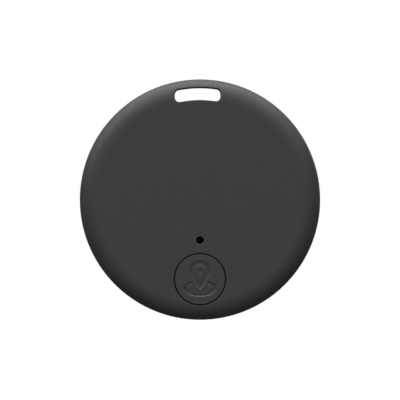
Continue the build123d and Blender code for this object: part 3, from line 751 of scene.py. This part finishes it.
PRINT_WIDTH = 0.12 * MM
PRINT_RISE = 1.2 * COPPER
PRINT_DOT = (0.16 * MM, 0.02 * MM)  # outer and inner radius
PRINT_DOT_AT = (-0.9 * MM, 0.75 * MM)  # from the chip's upper left corner
PRINT_PLUS = (0.7 * MM, 0.22 * MM)  # arm and width
PRINT_PLUS_AT = (-0.7 * MM, 1.4 * MM)  # from the side contact's upper right corner
PRINTED_ROUND = {  # parts with a printed frame, and how far its line is from each
    "bluetooth_chip": 0.5 * MM,
    "crystal": 0.25 * MM,
    "choke": 0.25 * MM,
    "buzzer_case": 0.75 * MM,
}


def printed_frame(bm, node, gap, front, rear):
    """A printed rectangle round a part."""
    low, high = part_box(node)
    corners = section(gap + PRINT_WIDTH / 2, gap - PRINT_WIDTH / 2, front, rear)
    loops_to_ring(bm, [rectangle(low, high, reach, y) for reach, y in corners])


def plus_sign(bm, x, z, arm, width, front, rear):
    """A closed plus sign, drawn as one twelve-sided outline."""
    half = width / 2
    quarter = [(arm, -half), (arm, half), (half, half)]
    outline = []
    for _ in range(4):
        outline += quarter
        quarter = [(-b, a) for a, b in quarter]
    loops_to_solid(bm, [[(x + a, y, z + b) for a, b in outline] for y in (front, rear)])


def board_print(bm):
    """Frames round larger parts, a dot at the chip's first pad, a plus by the side contact."""
    front = (BOARD_LOW.y - PRINT_RISE, BOARD_LOW.y - FOIL_GAP)
    rear = (BOARD_HIGH.y + FOIL_GAP, BOARD_HIGH.y + PRINT_RISE)
    for node, gap in PRINTED_ROUND.items():
        printed_frame(bm, node, gap, *front)
    low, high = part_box("bluetooth_chip")
    across, up = PRINT_DOT_AT
    washer(bm, low.x + across, high.z + up, *PRINT_DOT, *front)
    low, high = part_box("positive_contact")
    across, up = PRINT_PLUS_AT
    plus_sign(bm, high.x + across, high.z + up, *PRINT_PLUS, *rear)


new_piece("tracks", "front_case", "copper", tracks_front, finish="masked_copper")
new_piece("tracks_rear", "front_case", "copper", tracks_rear, finish="masked_copper")
for side, foil in (("front", FRONT_FOIL), ("rear", REAR_FOIL)):
    new_piece(
        f"ground_ring_{side}", "front_case", "copper",
        lambda bm, foil=foil: ground_ring(bm, *foil), finish="masked_copper",
    )
new_piece(
    "plated_holes", "front_case", "tin_plate", plated_holes, smooth_angle=30, finish="gold_plate",
)
new_piece("test_pads", "front_case", "copper", bare_pads, smooth_angle=30, finish="gold_plate")
new_piece("solder", "front_case", "tin_plate", solder_fillets, smooth_angle=50)
new_piece("board_print", "front_case", "ceramic", board_print, finish="board_ink")


# ---- coin cell: raised polarity sign and a stamped ring on the can's rear ----
CAN_LOW, CAN_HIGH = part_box("battery_can")
CELL_CENTRE = (CAN_LOW + CAN_HIGH) / 2
SIGN_DEPTHS = (CAN_HIGH.y - 0.01 * MM, CAN_HIGH.y + 0.012 * MM)
SIGN_ARM = 1.9 * MM
SIGN_WIDTH = 0.5 * MM
SIGN_RING = (8.75 * MM, 8.6 * MM)  # outer and inner radius
SIGN_RING_STEPS = 96


def polarity_sign(bm):
    """A plus sign and the rolled ring round it, standing just proud of the can."""
    plus_sign(bm, CELL_CENTRE.x, CELL_CENTRE.z, SIGN_ARM, SIGN_WIDTH, *SIGN_DEPTHS)
    washer(bm, CELL_CENTRE.x, CELL_CENTRE.z, *SIGN_RING, *SIGN_DEPTHS, SIGN_RING_STEPS)


new_piece(
    "polarity_sign", "battery", "cell_steel", polarity_sign, smooth_angle=30, finish="dull_mark",
)


# ---- foam pad: die-cut disc, glued to the rear cover, softly crowned towards the cell ----
PAD_LOW, PAD_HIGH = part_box("battery_pad")
PAD_RADIUS = (PAD_HIGH.x - PAD_LOW.x) / 2
PAD_STEPS = 96
PAD_RINGS = 26
PAD_FACE = 0.985  # radius of its two faces, as a share of the radius where it is widest
PAD_EDGE = ((PAD_FACE, 0), (1.0, 0.25), (0.995, 0.55))  # shares of the radius and the thickness
PAD_CROWN = 0.28  # how much thinner it is at its rim, as a share of the thickness
PIT_DEPTH = 0.02 * MM
PIT_SIZE = 0.5 * MM


def foam_disc(bm):
    """A disc with a full edge, its free face drawn in towards the rim and pitted like cut foam."""
    thickness = PAD_HIGH.y - PAD_LOW.y
    middle = (PAD_LOW + PAD_HIGH) / 2
    loops = [
        circle(middle.x, middle.z, PAD_RADIUS * radius, PAD_HIGH.y - thickness * share, PAD_STEPS)
        for radius, share in PAD_EDGE
    ]
    for ring in range(PAD_RINGS):
        share = 1 - ring / PAD_RINGS
        face = PAD_HIGH.y - thickness * (1 - PAD_CROWN + PAD_CROWN * math.sqrt(1 - share**6))
        loops.append([
            (x, face + PIT_DEPTH * abs(noise.noise(Vector((x, 0, z)) / PIT_SIZE)), z)
            for x, _, z in circle(middle.x, middle.z, PAD_RADIUS * PAD_FACE * share, 0, PAD_STEPS)
        ])
    loops_to_solid(bm, loops)


pad_foam = new_piece("pad_foam", "rear_case", "foam", foam_disc, smooth_angle=60)
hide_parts("battery_pad")


# ---- snap dome: a stamped spring disc on four feet, which flattens as the button goes in on the real tag; here it keeps its resting shape ----
DOME_LOW, DOME_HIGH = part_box("switch_dome")
DOME_STEPS = 64
DOME_RINGS = 12
DOME_METAL = 0.05 * MM
DOME_SCALLOP = 0.1  # how far its four sides draw in between the feet, as a share of its radius


def spring_dome(bm):
    """Two shells of a shallow dome with scalloped sides, joined along its edge."""
    middle = (DOME_LOW + DOME_HIGH) / 2
    radius = (DOME_HIGH.x - DOME_LOW.x) / 2
    rise = DOME_HIGH.y - DOME_LOW.y - DOME_METAL

    def shell(share, sunk):
        """One loop of a shell, at a share of the radius and sunk by a depth."""
        loop = []
        for step in range(DOME_STEPS):
            turn = 2 * math.pi * step / DOME_STEPS
            scallop = DOME_SCALLOP * share**4 * (1 + math.cos(4 * turn)) / 2
            reach = radius * share * (1 - scallop)
            y = DOME_LOW.y + sunk + rise * (reach / radius) ** 2
            loop.append((middle.x + reach * math.cos(turn), y, middle.z + reach * math.sin(turn)))
        return loop

    shares = [(ring + 1) / DOME_RINGS for ring in range(DOME_RINGS)]
    loops = [shell(share, 0) for share in shares]
    loops += [shell(share, DOME_METAL) for share in shares[::-1]]
    loops_to_solid(bm, loops)


dome = new_piece("snap_dome", "front_case", "stamped_steel", spring_dome, smooth_angle=50)
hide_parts("switch_dome")
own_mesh(dome)


# ---- dust screen: an etched disc behind the sound hole, inside the buzzer's gasket; a plausible part whose near-black finish is painted shade for the hole ----
GASKET_LOW, GASKET_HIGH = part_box("buzzer_gasket")
SCREEN_RADIUS = 0.64 * MM
SCREEN_PITCH = 0.13 * MM
SCREEN_BORE = 0.042 * MM
SCREEN_METAL = 0.04 * MM
SCREEN_FRONT = GASKET_LOW.y + 0.1 * MM
SCREEN_RIM = (SCREEN_RADIUS + 0.05 * MM, SCREEN_RADIUS - 0.09 * MM)  # outer and inner radius
SCREEN_RIM_FRONT = GASKET_LOW.y + 0.08 * MM
SCREEN_RIM_STEPS = 48
HEXAGON_TURN = math.radians(30)  # points a hexagon's corners up and down


def dust_screen(bm):
    """A sheet of hexagons, each with a hexagonal hole, thickened, inside a plain rim."""
    middle = (GASKET_LOW + GASKET_HIGH) / 2
    side = SCREEN_PITCH / math.sqrt(3)
    count = int(SCREEN_RADIUS / SCREEN_PITCH) + 1
    for row in range(-count, count + 1):
        for column in range(-count, count + 1):
            x = (column + 0.5 * (row % 2)) * SCREEN_PITCH
            z = row * 1.5 * side
            if math.hypot(x, z) > SCREEN_RADIUS - side:
                continue
            rows = []
            for reach in (side, SCREEN_BORE):
                corners = circle(middle.x + x, middle.z + z, reach, SCREEN_FRONT, 6, HEXAGON_TURN)
                rows.append([bm.verts.new(corner) for corner in corners])
            join_rows(bm, rows)
    bmesh.ops.remove_doubles(bm, verts=bm.verts, dist=MICRON)
    thick = bmesh.ops.extrude_face_region(bm, geom=list(bm.faces))["geom"]
    rear = [item for item in thick if isinstance(item, bmesh.types.BMVert)]
    bmesh.ops.translate(bm, vec=Vector((0, SCREEN_METAL, 0)), verts=rear)
    rim_rear = SCREEN_RIM_FRONT + 2 * SCREEN_METAL
    washer(bm, middle.x, middle.z, *SCREEN_RIM, SCREEN_RIM_FRONT, rim_rear, SCREEN_RIM_STEPS)


# Painted shade: the near-black finish keeps the sound hole dark.
new_piece("dust_screen", "front_case", "stamped_steel", dust_screen, finish="painted_shade_black")


# ---- camera: square on to the face, with the whole tag and an even margin in view ----
FRAME_SIZE = 59.88 * MM  # width and height of the picture
CAMERA_DISTANCE = 0.5
CAMERA_DROP = 0.062 * MM  # the photograph's middle is this far below the tag's

camera = bpy.data.objects.new("camera", bpy.data.cameras.new("camera"))
camera.data.type = "ORTHO"
camera.data.ortho_scale = FRAME_SIZE
camera.location = (MIDDLE.x, -CAMERA_DISTANCE, MIDDLE.z - CAMERA_DROP)
camera.rotation_euler = (math.pi / 2, 0, 0)
camera.data.clip_start = 0.01
camera.data.clip_end = 10
bpy.context.scene.collection.objects.link(camera)
bpy.context.scene.camera = camera
bpy.context.scene.view_settings.view_transform = "Standard"


# ---- light ----
SOFTBOX_DISTANCE = 0.6
ROOM_LIGHT = 0.111


def softbox(name, azimuth, elevation, width, height, watts):
    """A rectangular area light aimed at the tag. Azimuth 0 is in front, 90 to the right."""
    turn, rise = math.radians(azimuth), math.radians(elevation)
    level = Vector((math.sin(turn), -math.cos(turn), 0))
    away = level * math.cos(rise) + Vector((0, 0, math.sin(rise)))
    lamp = bpy.data.objects.new(name, bpy.data.lights.new(name, "AREA"))
    lamp.data.shape = "RECTANGLE"
    lamp.data.size = width
    lamp.data.size_y = height
    lamp.data.energy = watts
    lamp.location = MIDDLE + away * SOFTBOX_DISTANCE
    lamp.rotation_euler = (-away).to_track_quat("-Z", "Y").to_euler()
    lamp.visible_camera = False
    bpy.context.scene.collection.objects.link(lamp)


softbox("softbox_top", -4, 55, 1.5, 0.5, 4.67)
softbox("softbox_over", -4, 95, 1.0, 0.4, 5.1)
softbox("softbox_left", -75, 35, 0.4, 0.4, 0.7)
softbox("softbox_low", 0, -15, 0.7, 0.7, 0.74)
softbox("softbox_rear", 176, 22, 1.0, 0.5, 1.5)


def white_room():
    """A world that is white to the camera and gives the tag only a dim even light."""
    world = bpy.data.worlds.new("room")
    bpy.context.scene.world = world
    world.use_nodes = True
    nodes, links = world.node_tree.nodes, world.node_tree.links
    dim = nodes["Background"]
    dim.inputs["Color"].default_value = (1, 1, 1, 1)
    dim.inputs["Strength"].default_value = ROOM_LIGHT
    seen = nodes.new("ShaderNodeBackground")
    seen.inputs["Color"].default_value = (1, 1, 1, 1)
    seen.inputs["Strength"].default_value = 1.0
    choice = nodes.new("ShaderNodeMixShader")
    links.new(nodes.new("ShaderNodeLightPath").outputs["Is Camera Ray"], choice.inputs["Fac"])
    links.new(dim.outputs["Background"], choice.inputs[1])
    links.new(seen.outputs["Background"], choice.inputs[2])
    links.new(choice.outputs["Shader"], nodes["World Output"].inputs["Surface"])


white_room()


# ---- floor: a pale matt sheet that the tag stands on, on its rim ----
FLOOR_REACH = 3.0
FLOOR_GAP = 0.02 * MM
# The floor's glow, as (distance from the tag, strength).
GLOW_NEAR, GLOW_FAR = (0.1, 0.65), (0.4, 1.0)


def pale_floor():
    """A wide level sheet just under the tag, which glows and so fades into the white room."""
    finish = Finish("floor_paper", (0.3, 0.3, 0.3), 0.9, Emission_Color=(1, 1, 1, 1))
    finish.colours(finish.clouds(4 * MM, 4), (0.294, 0.294, 0.294), (0.306, 0.306, 0.306))
    finish.relief(finish.clouds(0.3 * MM, 3), 3 * MICRON)
    distance = finish.add("ShaderNodeVectorMath", finish.place)
    distance.operation = "LENGTH"
    glow = finish.add("ShaderNodeMapRange", From_Min=GLOW_NEAR[0], To_Min=GLOW_NEAR[1],
                      From_Max=GLOW_FAR[0], To_Max=GLOW_FAR[1])
    finish.links.new(distance.outputs["Value"], glow.inputs["Value"])
    finish.links.new(glow.outputs["Result"], finish.shader["Emission Strength"])
    mesh = bpy.data.meshes.new("floor")
    level = OBJECT_LOW.z - FLOOR_GAP
    signs = ((-1, -1), (1, -1), (1, 1), (-1, 1))
    corners = [(x * FLOOR_REACH, y * FLOOR_REACH, level) for x, y in signs]
    mesh.from_pydata(corners, [], [(0, 1, 2, 3)])
    mesh.materials.append(finish.material)
    floor = bpy.data.objects.new("floor", mesh)
    floor.visible_diffuse = False
    floor.visible_glossy = False
    floor.visible_shadow = False
    bpy.context.scene.collection.objects.link(floor)


pale_floor()
